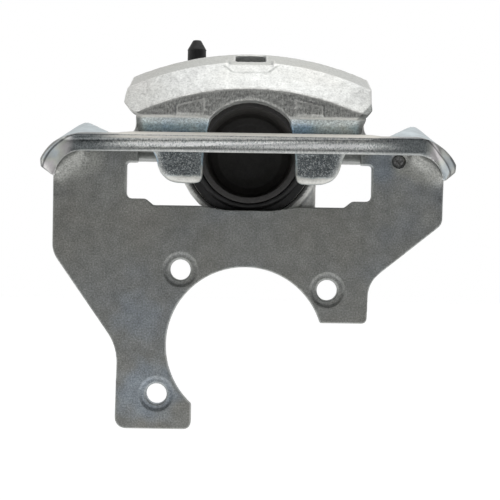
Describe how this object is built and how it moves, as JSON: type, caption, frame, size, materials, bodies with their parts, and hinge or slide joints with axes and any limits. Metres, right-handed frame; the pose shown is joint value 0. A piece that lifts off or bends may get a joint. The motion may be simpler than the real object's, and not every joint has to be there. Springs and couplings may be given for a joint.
{
  "type": "brake caliper",
  "caption": "Floating disc brake caliper with a cast housing, deep-cup piston and rubber boots, sliding on a folded plated-steel anchor bracket with a tie bar.",
  "frame": {"origin": "centre of the wheel axle, on the bracket face that bolts to the axle flange", "axes": "+Z from the axle towards the piston, +Y inboard towards the vehicle, +X along the disc's travel"},
  "size_m": [0.2527, 0.1525, 0.252],
  "materials": {
    "plated_steel": "zinc plated, fine grain",
    "plated_casting": "zinc plated over shot-blasted casting",
    "steel_hardware": "zinc plated",
    "phenolic": "satin moulded phenolic",
    "black_rubber": "matt"
  },
  "bodies": {
    "bracket": {"anchor_bracket": "plated_steel", "guide_bolt_left": "steel_hardware", "guide_bolt_right": "steel_hardware", "guide_washer_left": "steel_hardware", "guide_washer_right": "steel_hardware", "guide_sleeve_left": "steel_hardware", "guide_sleeve_right": "steel_hardware"},
    "caliper": {"caliper_housing": "plated_casting", "piston_seal": "black_rubber", "dust_boot": "black_rubber", "boot_ring": "steel_hardware", "guide_boot_left": "black_rubber", "guide_boot_right": "black_rubber", "guide_bushing_left_front": "black_rubber", "guide_bushing_left_rear": "black_rubber", "guide_bushing_right_front": "black_rubber", "guide_bushing_right_rear": "black_rubber"},
    "piston": {"piston": "phenolic"},
    "bleeder": {"bleeder_screw": "steel_hardware"},
    "bleeder_cap": {"bleeder_cap": "black_rubber"}
  },
  "joints": [
    {"name": "caliper_slide", "type": "slide", "parent": "bracket", "child": "caliper", "axis": [0, 1, 0], "range_m": [0, 0.012], "deforming": ["guide_boot_left", "guide_boot_right"]},
    {"name": "piston_slide", "type": "slide", "parent": "caliper", "child": "piston", "axis": [0, -1, 0], "range_m": [0, 0.02], "deforming": ["dust_boot"]},
    {"name": "bleeder_turn", "type": "hinge", "parent": "caliper", "child": "bleeder", "pos_m": [-0.0345, 0.042, 0.165], "axis": [0, 0, 1], "range_deg": [0, 180]},
    {"name": "bleeder_cap_pull", "type": "slide", "parent": "bleeder", "child": "bleeder_cap", "axis": [0, 0, 1], "range_m": [0, 0.03]}
  ]
}
